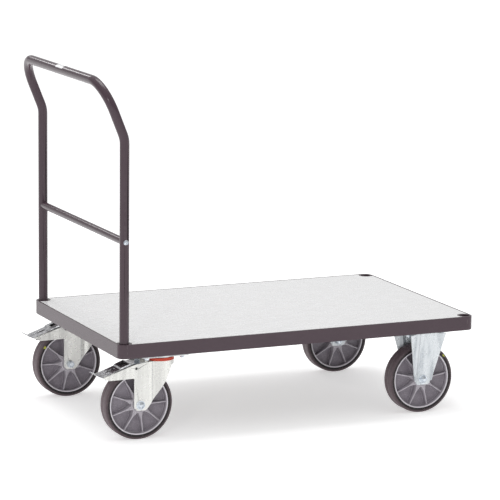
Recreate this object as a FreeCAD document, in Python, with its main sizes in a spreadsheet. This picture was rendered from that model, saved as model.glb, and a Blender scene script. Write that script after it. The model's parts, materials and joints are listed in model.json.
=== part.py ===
"""Platform cart: a board let into a steel frame, a bent tube push handle, two braked swivel casters
at the handle end and two fixed casters at the front.

Millimetres. +X points forward, away from the handle, +Y to the left, +Z up. The origin is on the
floor, under the middle of the whole cart."""
import FreeCAD, Part
import math
import os
import re

import Sketcher

SIZES = {
    # platform
    "platform_length": 1100,
    "platform_width": 690,
    "platform_height": 282,
    "rail_height": 40,
    "rail_wall": 4,
    "rail_flange": 34,
    "corner_radius": 21,
    "socket_bore": 14.25,
    "socket_floor": 3,
    "socket_drain": 10,
    "board_thickness": 12,
    "board_recess": 0.2,
    "board_gap": 0.8,
    "beam_width": 160,
    "beam_wall": 4,
    "beam_lip": 20,
    "deck_screw": 2.5,
    "deck_screw_head": 5,
    "deck_screw_crown": 2.5,
    "deck_screw_bite": 9,
    # push handle
    "handle_overhang": 54.65,
    "handle_radius": 13.45,
    "handle_wall": 2.6,
    "handle_knee": 850,
    "handle_top": 1004,
    "knee_bend": 70,
    "corner_bend": 85,
    "cross_height": 566,
    "cross_radius": 10.65,
    "cross_wall": 2,
    "plug_length": 22,
    "cross_screw": 3,
    "cross_screw_hole": 3.2,
    "cross_screw_socket": 2.2,
    "cross_screw_reach": 22,
    "cross_screw_head": 7.2,
    "cross_screw_crown": 4,
    "label_length": 52,
    "label_offset": -7,
    "label_thickness": 0.3,
    # places of the casters, from the rear end and from the sides of the frame
    "swivel_from_rear": 144,
    "swivel_from_side": 67,
    "fixed_from_rear": 953.5,
    "fixed_from_side": 63,
    "plate_length": 140,
    "plate_width": 110,
    "plate_thickness": 6,
    "plate_corner": 10,
    "bolt_spacing_long": 105,
    "bolt_spacing_wide": 80,
    "bolt_radius": 4,
    "bolt_hole": 4.5,
    "bolt_head": 7.5,
    "bolt_head_height": 5.3,
    "bolt_reach": 8,
    "nut_height": 6.8,
    # wheels
    "wheel_radius": 100,
    "tyre_width": 45,
    "tyre_shoulder": 7,
    "rim_radius": 87,
    "rim_width": 43,
    "rim_inner": 81.5,
    "web_thickness": 6,
    "hub_radius": 24,
    "hub_width": 50,
    "hub_bore": 13,
    "rib_thickness": 3,
    "rib_at_hub": 23,
    "rib_at_rim": 15,
    "rib_count": 9,
    "bearing_radius": 17.5,
    "bearing_width": 11,
    "axle_radius": 7.45,
    "axle_hole": 7.5,
    "axle_head": 11,
    "axle_head_height": 7,
    "axle_flange": 13,
    "axle_flange_height": 1.6,
    "axle_nut_height": 9,
    "spacer_radius": 10,
    "spacer_gap": 0.3,
    # swivel caster, measured from the swivel axis
    "trail": 68,
    "fork_half_width": 32.5,
    "fork_wall": 4,
    "fork_bottom": 84.5,
    "fork_bend": 24,
    "wing_reach": 112,
    "crown_top": 222,
    "crown_radius": 41,
    "crown_skirt": 12,
    "king_radius": 8,
    "king_hole": 8.05,
    "king_head": 13,
    "king_head_height": 5,
    "king_nut": 11,
    "king_nut_height": 7,
    "seal_radius": 42,
    "seal_inner": 36,
    "seal_top": 230,
    "race_radius": 39,
    "ball_circle": 26,
    "ball_radius": 4,
    "ball_count": 10,
    "running_gap": 0.4,
    # brake, measured from the swivel axis
    "pin_behind": 80.5,
    "pin_height": 205,
    "pin_radius": 3.5,
    "pin_hole": 3.55,
    "pedal_half_width": 27,
    "pedal_sheet": 2.5,
    "shoe_half_width": 20,
    "shoe_gap": 4.5,
    "adjuster_ahead": 2,
    "adjuster_radius": 8.5,
    "adjuster_height": 6.5,
    "adjuster_shank": 3,
    "adjuster_reach": 13,
    "step_height": 3,
    # fixed caster, measured from its axle
    "bracket_half_width": 30.5,
    "bracket_wall": 4,
    "bracket_bottom": 84,
    "bracket_tab": 96,
    "bracket_bend": 118,
    "bracket_lean": 20,
    "bracket_low_half": 22.5,
    "bracket_top_half": 32,
    "bracket_low_flare": 5,
    "bracket_low_flare_out": 3,
    "bracket_bend_half": 24,
    "bracket_bend_flare": 8,
    "bracket_bend_flare_out": 4.4,
    "bracket_flare": 24,
    "bracket_flare_out": 12,
    "bracket_fold": 3.5,
}

PEDAL_SLOPE = 20  # degrees of the pedal's rise from its toe to its pin
LABEL_WRAP = 120  # degrees of the top tube that the label covers
WHEEL_REST = {"rear_right": 0, "rear_left": 20, "front_right": 6.5, "front_left": 15}  # degrees turned

doc = FreeCAD.newDocument("platform_cart")
sheet = doc.addObject("Spreadsheet::Sheet", "sizes")
for row, (alias, number) in enumerate(SIZES.items(), start=1):
    sheet.set(f"A{row}", alias)
    sheet.set(f"B{row}", str(number))
    sheet.setAlias(f"B{row}", alias)
doc.recompute()

nodes = []


def bound(text):
    """An expression on the sheet, from a formula written in the sizes' own names."""

    def named(word):
        name = word.group()
        return "sizes." + name if name in SIZES else name

    return re.sub(r"[a-z_]+", named, str(text))


def value(text):
    """What such a formula comes to, in millimetres."""
    return float(sheet.evalExpression(bound(text)))


def place(item, x=0.0, y=0.0, z=0.0, turn=0.0):
    """Put a sub-part in the cart's frame, turned about +Z by an angle in degrees."""
    about_z = FreeCAD.Rotation(FreeCAD.Vector(0, 0, 1), turn)
    item.Placement = FreeCAD.Placement(FreeCAD.Vector(x, y, z), about_z)


def keep(item, label):
    """Name a finished sub-part and list it for export."""
    item.Label = label
    nodes.append(item)
    return item


# ---------------------------------------------------------------- PartDesign helpers


def new_body(label):
    return keep(doc.addObject("PartDesign::Body", label), label)


def origin_item(body, role):
    """One of the body's own origin planes or axes."""
    return next(item for item in body.Origin.OriginFeatures if item.Role == role)


def new_sketch(body, role, lift=0):
    """An empty sketch on one of the body's own origin planes, lifted along the plane's normal."""
    sketch = body.newObject("Sketcher::SketchObject", body.Name + "_sketch")
    sketch.AttachmentSupport = [(origin_item(body, role), "")]
    sketch.MapMode = "FlatFace"
    sketch.setExpression(".AttachmentOffset.Base.z", bound(lift))
    return sketch


def pin_point(sketch, curve, point, x, y):
    """Hold one point of a sketch at two bound distances from the sketch's origin."""
    for kind, text in (("DistanceX", x), ("DistanceY", y)):
        number = sketch.addConstraint(Sketcher.Constraint(kind, -1, 1, curve, point, value(text)))
        sketch.setExpression(f"Constraints[{number}]", bound(text))


def add_outline(sketch, corners, arcs=None):
    """A closed outline whose corners are bound to the sheet. Its sides are straight, apart from
    those in `arcs`, where side i, after corner i, is (x, y, radius): an arc through that point."""
    arcs = arcs or {}
    first = sketch.GeometryCount
    spots = [FreeCAD.Vector(value(x), value(y), 0) for x, y in corners]
    count = len(spots)
    starts = []
    for i in range(count):
        start, end = spots[i], spots[(i + 1) % count]
        side = Part.LineSegment(start, end)
        starts.append(1)
        if i in arcs:
            through = FreeCAD.Vector(value(arcs[i][0]), value(arcs[i][1]), 0)
            side = Part.Arc(start, through, end)
            starts[i] = 1 if (through - start).cross(end - through).z > 0 else 2
        sketch.addGeometry(side, False)
    for i in range(count):
        after = (i + 1) % count
        ends = (first + i, 3 - starts[i], first + after, starts[after])
        sketch.addConstraint(Sketcher.Constraint("Coincident", *ends))
    for i, (x, y) in enumerate(corners):
        pin_point(sketch, first + i, starts[i], x, y)
    for i, (_, _, radius) in arcs.items():
        number = sketch.addConstraint(Sketcher.Constraint("Radius", first + i, value(radius)))
        sketch.setExpression(f"Constraints[{number}]", bound(radius))


def add_rectangle(sketch, half_x, half_y):
    """A rectangle about the sketch's origin."""
    left, near = f"-({half_x})", f"-({half_y})"
    add_outline(sketch, [(left, near), (half_x, near), (half_x, half_y), (left, half_y)])


def add_circle(sketch, x, y, radius):
    """A circle bound to the sheet."""
    centre = FreeCAD.Vector(value(x), value(y), 0)
    curve = sketch.addGeometry(Part.Circle(centre, FreeCAD.Vector(0, 0, 1), value(radius)), False)
    pin_point(sketch, curve, 3, x, y)
    number = sketch.addConstraint(Sketcher.Constraint("Radius", curve, value(radius)))
    sketch.setExpression(f"Constraints[{number}]", bound(radius))


def add_hexagon(sketch, x, y, across):
    """A hexagon with a corner radius bound to the sheet, centred on x, y."""
    corners = []
    for i in range(6):
        angle = f"{60 * i} deg"
        corners.append((f"({x}) + ({across}) * cos({angle})", f"({y}) + ({across}) * sin({angle})"))
    add_outline(sketch, corners)


def add_bolt_holes(sketch):
    """The four bolt holes of a caster, about the sketch's origin."""
    for sign_x in ("-", ""):
        for sign_y in ("-", ""):
            spot = (f"{sign_x}bolt_spacing_long / 2", f"{sign_y}bolt_spacing_wide / 2")
            add_circle(sketch, *spot, "bolt_hole")


def add_pad(body, sketch, length, symmetric=False):
    pad = body.newObject("PartDesign::Pad", body.Name + "_pad")
    pad.Profile = sketch
    pad.SideType = "Symmetric" if symmetric else "One side"
    pad.setExpression("Length", bound(length))
    return pad


def add_pocket(body, sketch, length):
    """A pocket cut to both sides of its sketch."""
    doc.recompute()
    before = body.Shape.Volume
    pocket = body.newObject("PartDesign::Pocket", body.Name + "_pocket")
    pocket.Profile = sketch
    pocket.SideType = "Symmetric"
    pocket.setExpression("Length", bound(length))
    doc.recompute()
    if not body.Shape.Volume < before:
        raise SystemExit(f"{body.Name}: a pocket cut nothing")
    return pocket


def add_revolution(body, sketch, about):
    """A full turn about the body's own X, Y or Z axis."""
    turned = body.newObject("PartDesign::Revolution", body.Name + "_turned")
    turned.Profile = sketch
    turned.ReferenceAxis = (origin_item(body, about), [""])
    turned.Angle = 360
    return turned


def add_fillet(body, base, radius, chosen):
    """Round the edges of a feature whose middles pass the test `chosen`."""
    doc.recompute()
    names = [f"Edge{i}" for i, edge in enumerate(base.Shape.Edges, start=1) if chosen(edge)]
    if not names:
        raise SystemExit(f"{body.Name}: no edge to round")
    fillet = body.newObject("PartDesign::Fillet", body.Name + "_fillet")
    fillet.Base = (base, names)
    fillet.setExpression("Radius", bound(radius))
    return fillet


def turned_body(label, profile, about="Z_Axis"):
    """A body turned from one profile of (radius, distance along the axis) corners."""
    body = new_body(label)
    sketch = new_sketch(body, "XZ_Plane" if about == "Z_Axis" else "XY_Plane")
    add_outline(sketch, profile)
    add_revolution(body, sketch, about)
    return body


def middle(edge):
    """The point half way along an edge."""
    return edge.valueAt((edge.FirstParameter + edge.LastParameter) / 2)


def edge_along(edge, axis):
    """True for a straight edge along one axis (0, 1 or 2)."""
    if not isinstance(edge.Curve, Part.Line):
        return False
    return abs(abs(edge.Curve.Direction[axis]) - 1) < 1e-6


def is_ring(edge, radius):
    """True for a circular edge of one radius."""
    return isinstance(edge.Curve, Part.Circle) and abs(edge.Curve.Radius - radius) < 0.01


def is_upright_at(edge, x, y):
    """True for a straight edge along Z that stands at x and at y or -y."""
    if not edge_along(edge, 2):
        return False
    spot = middle(edge)
    return abs(spot.x - x) < 0.01 and abs(abs(spot.y) - abs(y)) < 0.01


# ---------------------------------------------------------------- Part helpers


def primitive(kind, name, **sizes):
    """A Part primitive whose sizes are bound to the sheet."""
    item = doc.addObject("Part::" + kind, name)
    for key, text in sizes.items():
        item.setExpression(key, bound(text))
    return item


def boolean(kind, name, shapes):
    """A Cut of the first shape by the second, or a MultiFuse or Compound of them all."""
    item = doc.addObject("Part::" + kind, name)
    if kind == "Cut":
        item.Base = shapes[0]
        item.Tool = shapes[1]
    elif kind == "Compound":
        item.Links = shapes
    else:
        item.Shapes = shapes
    return item


def stock(name, shape):
    """A loose Part::Feature for a shape made with Part's own functions."""
    item = doc.addObject("Part::Feature", name)
    item.Shape = shape
    return item


def hex_prism(radius, height, bottom, hole=0.0):
    """A hexagonal nut or head, its corners at `radius`, standing on z = bottom."""
    corners = []
    for i in range(6):
        angle = i * math.pi / 3
        corners.append(FreeCAD.Vector(radius * math.cos(angle), radius * math.sin(angle), bottom))
    face = Part.Face(Part.makePolygon(corners + corners[:1]))
    prism = face.extrude(FreeCAD.Vector(0, 0, height))
    if hole:
        prism = prism.cut(Part.makeCylinder(hole, height, FreeCAD.Vector(0, 0, bottom)))
    return prism


# ---------------------------------------------------------------- places in the cart's frame

REAR = "(handle_overhang - platform_length) / 2"
FRONT = "(handle_overhang + platform_length) / 2"
UNDERSIDE = "(platform_height - rail_height)"
BOARD_TOP = "(platform_height - board_recess)"
HANDLE_X = f"({REAR} + corner_radius)"
HANDLE_Y = "(platform_width / 2 - corner_radius)"
SWIVEL_X = f"({REAR} + swivel_from_rear)"
SWIVEL_Y = "(platform_width / 2 - swivel_from_side)"
FIXED_X = f"({REAR} + fixed_from_rear)"
FIXED_Y = "(platform_width / 2 - fixed_from_side)"
LIP_MIDDLE = "(beam_width / 2 + beam_lip / 2)"
SCREW_ROWS = ("-platform_width / 3", "0", "platform_width / 3")
SIDES = (("right", -1), ("left", 1))


# ---------------------------------------------------------------- frame


def rail(label, spacing, flange_length):
    """An angle rail. Local X runs along it, its outer face is at y = 0 and its flange points to +Y.
    `spacing` is the distance between the corner sockets that its upright wall butts against."""
    body = new_body(label)
    wall = new_sketch(body, "YZ_Plane")
    add_outline(wall, [(0, 0), ("rail_wall", 0), ("rail_wall", "rail_height"), (0, "rail_height")])
    add_pad(body, wall, spacing, symmetric=True)
    flange = new_sketch(body, "YZ_Plane")
    add_outline(flange, [(0, 0), ("rail_flange", 0), ("rail_flange", "rail_wall"), (0, "rail_wall")])
    add_pad(body, flange, flange_length, symmetric=True)
    cope = new_sketch(body, "XY_Plane")
    for end in ("-", ""):
        add_circle(cope, f"{end}({spacing}) / 2", "corner_radius", "corner_radius")
    add_pocket(body, cope, "3 * rail_height")
    return body


def frame_rails():
    long_spacing = "platform_length - 2 * corner_radius"
    wide_spacing = "platform_width - 2 * corner_radius"
    middle_x = value(f"({REAR} + {FRONT}) / 2")
    for side, sign in SIDES:
        side_rail = rail(f"side_rail_{side}", long_spacing, long_spacing)
        turn = 0 if sign < 0 else 180
        place(side_rail, middle_x, sign * value("platform_width / 2"), value(UNDERSIDE), turn)
        # holes for the outer row of caster bolts
        holes = new_sketch(side_rail, "XY_Plane")
        for centre, from_side in ((SWIVEL_X, "swivel_from_side"), (FIXED_X, "fixed_from_side")):
            for step in ("- bolt_spacing_long / 2", "+ bolt_spacing_long / 2"):
                along = f"({centre} - ({REAR} + {FRONT}) / 2 {step})"
                add_circle(holes, f"{-sign} * {along}", f"{from_side} - bolt_spacing_wide / 2", "bolt_hole")
        add_pocket(side_rail, holes, "rail_wall * 3")
    for end, at, turn in (("rear", REAR, -90), ("front", FRONT, 90)):
        end_rail = rail(f"end_rail_{end}", wide_spacing, "platform_width - 2 * rail_flange")
        place(end_rail, value(at), 0, value(UNDERSIDE), turn)


def corner_sockets():
    """Corner posts: a tube with a floor ring that the handle's end stands on."""
    profile = [
        ("socket_drain", 0),
        ("corner_radius", 0),
        ("corner_radius", "rail_height"),
        ("socket_bore", "rail_height"),
        ("socket_bore", "socket_floor"),
        ("socket_drain", "socket_floor"),
    ]
    for end, x in (("rear", HANDLE_X), ("front", f"({FRONT} - corner_radius)")):
        for side, sign in SIDES:
            socket = turned_body(f"corner_socket_{end}_{side}", profile)
            place(socket, value(x), sign * value(HANDLE_Y), value(UNDERSIDE))


def deck_screw_spots():
    """Centres of the screws that hold the board, as formulas in the cart's frame."""
    spots = []
    for centre in (SWIVEL_X, FIXED_X):
        for sign in "-+":
            spots += [(f"({centre} {sign} {LIP_MIDDLE})", y) for y in SCREW_ROWS]
    return spots


def cross_beams():
    """A hat channel over each pair of casters. Its web is bolted to them and its lips carry the board."""
    top = "(rail_height - board_recess - board_thickness)"
    half = "beam_width / 2"
    for name, centre, from_side in (
        ("rear", SWIVEL_X, "swivel_from_side"),
        ("front", FIXED_X, "fixed_from_side"),
    ):
        body = new_body(f"cross_beam_{name}")
        profile = new_sketch(body, "XZ_Plane")
        add_outline(
            profile,
            [
                (f"-{half}", 0),
                (half, 0),
                (half, f"{top} - beam_wall"),
                (f"{half} + beam_lip", f"{top} - beam_wall"),
                (f"{half} + beam_lip", top),
                (f"{half} - beam_wall", top),
                (f"{half} - beam_wall", "beam_wall"),
                (f"beam_wall - {half}", "beam_wall"),
                (f"beam_wall - {half}", top),
                (f"-{half} - beam_lip", top),
                (f"-{half} - beam_lip", f"{top} - beam_wall"),
                (f"-{half}", f"{top} - beam_wall"),
            ],
        )
        add_pad(body, profile, "platform_width - 2 * rail_flange", symmetric=True)
        holes = new_sketch(body, "XY_Plane")
        for sign in ("-", ""):
            for step in ("-", ""):
                inner = f"{sign}(platform_width / 2 - {from_side} - bolt_spacing_wide / 2)"
                add_circle(holes, f"{step}bolt_spacing_long / 2", inner, "bolt_hole")
            if name == "rear":
                add_circle(holes, 0, f"{sign}{SWIVEL_Y}", "king_head + 2")
            for y in SCREW_ROWS:
                add_circle(holes, f"{sign}{LIP_MIDDLE}", y, "deck_screw")
        add_pocket(body, holes, "3 * rail_height")
        place(body, value(centre), 0, value(UNDERSIDE))


def deck_board():
    """The board: let in between the rails, notched round the corner sockets."""
    body = new_body("deck_board")
    sketch = new_sketch(body, "XY_Plane", f"{BOARD_TOP} - board_thickness")
    low_x = f"({REAR} + rail_wall + board_gap)"
    high_x = f"({FRONT} - rail_wall - board_gap)"
    high_y = "(platform_width / 2 - rail_wall - board_gap)"
    front_socket = f"({FRONT} - corner_radius)"
    cut_corners = [
        (HANDLE_X, f"-{high_y}"),
        (front_socket, f"-{high_y}"),
        (high_x, f"-{HANDLE_Y}"),
        (high_x, HANDLE_Y),
        (front_socket, high_y),
        (HANDLE_X, high_y),
        (low_x, HANDLE_Y),
        (low_x, f"-{HANDLE_Y}"),
    ]
    add_outline(sketch, cut_corners)
    add_pad(body, sketch, "board_thickness")
    notches = new_sketch(body, "XY_Plane", BOARD_TOP)
    for x in (HANDLE_X, front_socket):
        for sign in ("-", ""):
            add_circle(notches, x, f"{sign}{HANDLE_Y}", "corner_radius + board_gap")
    add_pocket(body, notches, "3 * board_thickness")
    holes = new_sketch(body, "XY_Plane", f"{BOARD_TOP} - board_thickness")
    for x, y in deck_screw_spots():
        add_circle(holes, x, y, "deck_screw")
    add_pocket(body, holes, "2 * deck_screw_bite")


def deck_screws():
    """Screws up through the beams' lips into the board."""
    low = value(f"{BOARD_TOP} - board_thickness - beam_wall")
    crown = "deck_screw_head * 0.6"
    screws = []
    for x, y in deck_screw_spots():
        shank = primitive("Cylinder", "shank", Radius="deck_screw", Height="beam_wall + deck_screw_bite")
        head = primitive("Cone", "head", Radius1=crown, Radius2="deck_screw_head", Height="deck_screw_crown")
        place(shank, value(x), value(y), low)
        place(head, value(x), value(y), low - value("deck_screw_crown"))
        screws.append(boolean("MultiFuse", "deck_screw_piece", [shank, head]))
    keep(boolean("Compound", "deck_screws", screws), "deck_screws")


# ---------------------------------------------------------------- handle


def bent_path(corners, radii):
    """A wire of straight runs through the corners, with an arc of the given radius at each bend."""
    edges = []
    start = corners[0]
    for before, corner, after, radius in zip(corners, corners[1:], corners[2:], radii):
        back = (before - corner).normalize()
        ahead = (after - corner).normalize()
        half_turn = (math.pi - back.getAngle(ahead)) / 2
        reach = radius * math.tan(half_turn)
        into = corner + back * reach
        out = corner + ahead * reach
        bisector = (back + ahead).normalize()
        crest = corner + bisector * (radius / math.cos(half_turn) - radius)
        edges.append(Part.LineSegment(start, into).toShape())
        edges.append(Part.Arc(into, crest, out).toShape())
        start = out
    edges.append(Part.LineSegment(start, corners[-1]).toShape())
    return Part.Wire(edges)


def swept_rod(path, radius):
    """A round rod along a path that starts straight up."""
    ring = Part.Wire(Part.makeCircle(radius, path.Edges[0].Vertexes[0].Point, FreeCAD.Vector(0, 0, 1)))
    return path.makePipeShell([ring], True, True)


def cross_axis(radius, low, high):
    """A cylinder along Y at the height and place of the cross tube."""
    foot = FreeCAD.Vector(value(HANDLE_X), low, value("cross_height"))
    return Part.makeCylinder(radius, high - low, foot, FreeCAD.Vector(0, 1, 0))


def push_handle():
    """One tube: up from the rear sockets, leaning back above the knees, and across the top."""
    x = value(HANDLE_X)
    top_x = value(f"{REAR} - handle_overhang + handle_radius")
    y = value(HANDLE_Y)
    foot = value(f"{UNDERSIDE} + socket_floor")
    knee = value("handle_knee")
    top = value("handle_top")
    corners = [
        FreeCAD.Vector(x, -y, foot),
        FreeCAD.Vector(x, -y, knee),
        FreeCAD.Vector(top_x, -y, top),
        FreeCAD.Vector(top_x, y, top),
        FreeCAD.Vector(x, y, knee),
        FreeCAD.Vector(x, y, foot),
    ]
    bends = ("knee_bend", "corner_bend", "corner_bend", "knee_bend")
    path = bent_path(corners, [value(bend) for bend in bends])
    radius = value("handle_radius")
    outside = swept_rod(path, radius)
    inside = swept_rod(path, radius - value("handle_wall"))
    reach = y + 2 * radius
    tube = outside.cut(inside).cut(cross_axis(value("cross_screw_hole"), -reach, reach))
    keep(stock("push_handle", tube), "push_handle")


def upright(sign):
    """The solid bar that fills one upright of the handle round the height of the cross tube."""
    reach = 3 * value("handle_radius")
    foot = FreeCAD.Vector(value(HANDLE_X), sign * value(HANDLE_Y), value("cross_height") - reach)
    return Part.makeCylinder(value("handle_radius"), 2 * reach, foot)


def cross_tube():
    """The tube between the uprights, its ends shaped to fit against them."""
    half = value(HANDLE_Y)
    tube = cross_axis(value("cross_radius"), -half, half)
    tube = tube.cut(cross_axis(value("cross_radius - cross_wall"), -half, half))
    keep(stock("cross_tube", tube.cut([upright(-1), upright(1)])), "cross_tube")


def cross_tube_plug(sign):
    """The threaded plug in one end of the cross tube."""
    half = value(HANDLE_Y)
    low, high = sorted((sign * (half - value("handle_radius + plug_length")), sign * half))
    plug = cross_axis(value("cross_radius - cross_wall"), low, high).cut(upright(sign))
    return plug.cut(cross_axis(value("cross_screw"), low, high))


def cross_tube_screw(sign):
    """A button-head screw through one upright: a shank, and a domed head with a socket in it."""
    half = value(HANDLE_Y)
    face = half + value("handle_radius")
    crown = value("cross_screw_crown")
    head_radius = value("cross_screw_head")
    ball_radius = (head_radius**2 + crown**2) / (2 * crown)
    centre = FreeCAD.Vector(value(HANDLE_X), sign * (face + crown - ball_radius), value("cross_height"))
    beyond = face + 2 * crown
    head = Part.makeSphere(ball_radius, centre)
    head = head.common(cross_axis(head_radius, *sorted((sign * (half + crown), sign * beyond))))
    socket = cross_axis(value("cross_screw_socket"), *sorted((sign * (face + crown / 2), sign * beyond)))
    tip = half - value("cross_screw_reach")
    shank = cross_axis(value("cross_screw"), *sorted((sign * tip, sign * face)))
    return shank.fuse(head.cut([socket, upright(sign)]))


def cross_tube_fixings():
    """Both plugs and both screws of the cross tube."""
    for label, build in (("cross_tube_plugs", cross_tube_plug), ("cross_tube_screws", cross_tube_screw)):
        keep(stock(label, Part.makeCompound([build(sign) for _, sign in SIDES])), label)


def handle_label():
    """A blank foil label wrapped round the upper side of the top tube."""
    foil = "handle_radius + label_thickness"
    outer = primitive("Cylinder", "label_outer", Radius=foil, Height="label_length")
    outer.Angle = LABEL_WRAP
    inner = primitive("Cylinder", "label_inner", Radius="handle_radius", Height="label_length")
    label = keep(boolean("Cut", "handle_label", [outer, inner]), "handle_label")
    along_y = FreeCAD.Rotation(FreeCAD.Vector(1, 0, 0), -90)
    centre = FreeCAD.Vector(value(f"{REAR} - handle_overhang + handle_radius"), 0, value("handle_top"))
    start = FreeCAD.Vector(0, value("label_offset - label_length / 2"), 0)
    roll = FreeCAD.Rotation(FreeCAD.Vector(0, 0, 1), -90 - LABEL_WRAP / 2)
    label.Placement = FreeCAD.Placement(centre + start, along_y * roll)


# ---------------------------------------------------------------- wheels


def wheel_rim(label):
    """Moulded wheel centre: hub, web and rim, with ribs on both faces of the web."""
    half_hub = "hub_width / 2"
    half_web = "web_thickness / 2"
    half_rim = "rim_width / 2"
    seat = "(hub_width / 2 - bearing_width)"
    upper = [
        ("bearing_radius", seat),
        ("bearing_radius", half_hub),
        ("hub_radius", half_hub),
        ("hub_radius", half_web),
        ("rim_inner", half_web),
        ("rim_inner + 2", half_rim),
        ("rim_radius", half_rim),
    ]
    lower = [(radius, f"-({height})") for radius, height in reversed(upper)]
    profile = [("hub_bore", seat)] + upper + lower + [("hub_bore", f"-{seat}")]
    body = turned_body(label, profile, "Y_Axis")
    rib_sketch = new_sketch(body, "XY_Plane")
    inner = "(hub_radius - 2)"
    outer = "(rim_inner + 1)"
    add_outline(
        rib_sketch,
        [(inner, "-rib_at_hub"), (outer, "-rib_at_rim"), (outer, "rib_at_rim"), (inner, "rib_at_hub")],
    )
    rib = add_pad(body, rib_sketch, "rib_thickness", symmetric=True)
    doc.recompute()
    ribs = body.newObject("PartDesign::PolarPattern", body.Name + "_ribs")
    ribs.Originals = [rib]
    ribs.Axis = (origin_item(body, "Y_Axis"), [""])
    ribs.Angle = 360
    ribs.setExpression("Occurrences", bound("rib_count"))
    body.Tip = ribs
    return body


def wheel_tyre(label):
    """Solid tyre with rounded shoulders."""
    half = "tyre_width / 2"
    body = turned_body(
        label,
        [
            ("rim_radius", f"-({half})"),
            ("wheel_radius", f"-({half})"),
            ("wheel_radius", half),
            ("rim_radius", half),
        ],
        "Y_Axis",
    )
    tread = value("wheel_radius")
    add_fillet(body, body.Tip, "tyre_shoulder", lambda edge: is_ring(edge, tread))
    return body


def wheel_bearings(label):
    """The two ball bearings of a wheel, one in each end of the hub."""
    rings = []
    for sign in (-1, 1):
        ring = primitive("Cylinder", "bearing_ring", Radius="bearing_radius", Height="bearing_width")
        hole = primitive("Cylinder", "bearing_hole", Radius="axle_hole", Height="bearing_width")
        bearing = boolean("Cut", "bearing", [ring, hole])
        low = value("hub_width / 2") if sign > 0 else value("bearing_width - hub_width / 2")
        bearing.Placement = FreeCAD.Placement(
            FreeCAD.Vector(0, low, 0), FreeCAD.Rotation(FreeCAD.Vector(1, 0, 0), 90)
        )
        rings.append(bearing)
    return keep(boolean("Compound", label, rings), label)


def wheel(name, x, y):
    """One complete wheel over the point x, y of the floor, its ribs stopped at an angle of their own."""
    centre = FreeCAD.Vector(x, y, value("wheel_radius"))
    rest = FreeCAD.Rotation(FreeCAD.Vector(0, -1, 0), WHEEL_REST[name])
    wheel_rim(f"rim_{name}").Placement = FreeCAD.Placement(centre, rest)
    place(wheel_tyre(f"tyre_{name}"), *centre)
    place(wheel_bearings(f"bearings_{name}"), *centre)


def axle_shapes(half_width):
    """A wheel axle along Y for a fork of the given outer half width: the bolt with its head at -Y,
    its nut at +Y, and the two spacers between fork and hub. All about the axle's own centre."""
    nut_height = value("axle_nut_height")
    radius = value("axle_radius")
    along_y = FreeCAD.Rotation(FreeCAD.Vector(1, 0, 0), -90)

    def laid(shape):
        shape.Placement = FreeCAD.Placement(FreeCAD.Vector(0, 0, 0), along_y)
        return shape

    shank_end = half_width + nut_height + 2
    bolt = Part.makeCylinder(radius, shank_end + half_width, FreeCAD.Vector(0, 0, -half_width))
    head_height = value("axle_head_height")
    head = hex_prism(value("axle_head"), head_height, -half_width - head_height)
    dome_radius = value("axle_head") * 1.3
    dome_drop = dome_radius - 1.2
    dome = Part.makeSphere(dome_radius, FreeCAD.Vector(0, 0, -half_width - head_height + dome_drop + 1))
    flange_height = value("axle_flange_height")
    flange_foot = FreeCAD.Vector(0, 0, -half_width - flange_height)
    flange = Part.makeCylinder(value("axle_flange"), flange_height, flange_foot)
    bolt = bolt.fuse([head.common(dome), flange])
    nut = hex_prism(value("axle_head"), nut_height, half_width, radius)
    inner = value("hub_width / 2 + spacer_gap")
    wall = half_width - value("fork_wall")
    spacers = []
    for low in (-wall, inner):
        ring = Part.makeCylinder(value("spacer_radius"), wall - inner, FreeCAD.Vector(0, 0, low))
        spacers.append(laid(ring.cut(Part.makeCylinder(radius, wall - inner, FreeCAD.Vector(0, 0, low)))))
    return laid(bolt), laid(nut), spacers


def moved(shape, x, y, z, turn=0):
    """A copy of a shape in the cart's frame."""
    copy = shape.copy()
    copy.rotate(FreeCAD.Vector(0, 0, 0), FreeCAD.Vector(0, 0, 1), turn)
    copy.translate(FreeCAD.Vector(x, y, z))
    return copy


# ---------------------------------------------------------------- swivel caster


def swivel_top_plate(label):
    """Mounting plate with the upper ball race pressed into it."""
    body = new_body(label)
    bottom = f"({UNDERSIDE} - plate_thickness)"
    sketch = new_sketch(body, "XY_Plane", bottom)
    add_rectangle(sketch, "plate_length / 2", "plate_width / 2")
    plate = add_pad(body, sketch, "plate_thickness")
    add_fillet(body, plate, "plate_corner", lambda edge: edge_along(edge, 2))
    race = new_sketch(body, "XZ_Plane")
    add_outline(
        race,
        [
            (0, "crown_top + 2 * ball_radius + running_gap"),
            ("race_radius", "crown_top + 2 * ball_radius + running_gap"),
            ("race_radius", bottom),
            (0, bottom),
        ],
    )
    add_revolution(body, race, "Z_Axis")
    holes = new_sketch(body, "XY_Plane", bottom)
    add_bolt_holes(holes)
    add_circle(holes, 0, 0, "king_radius")
    add_pocket(body, holes, "6 * plate_thickness")
    sink = new_sketch(body, "XZ_Plane")
    add_outline(
        sink,
        [
            (0, f"{UNDERSIDE} - 1 - king_head_height"),
            ("king_radius", f"{UNDERSIDE} - 1 - king_head_height"),
            ("king_head", f"{UNDERSIDE} - 1"),
            ("king_head", UNDERSIDE),
            (0, UNDERSIDE),
        ],
    )
    groove = body.newObject("PartDesign::Groove", body.Name + "_groove")
    groove.Profile = sink
    groove.ReferenceAxis = (origin_item(body, "Z_Axis"), [""])
    groove.Angle = 360
    return body


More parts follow.
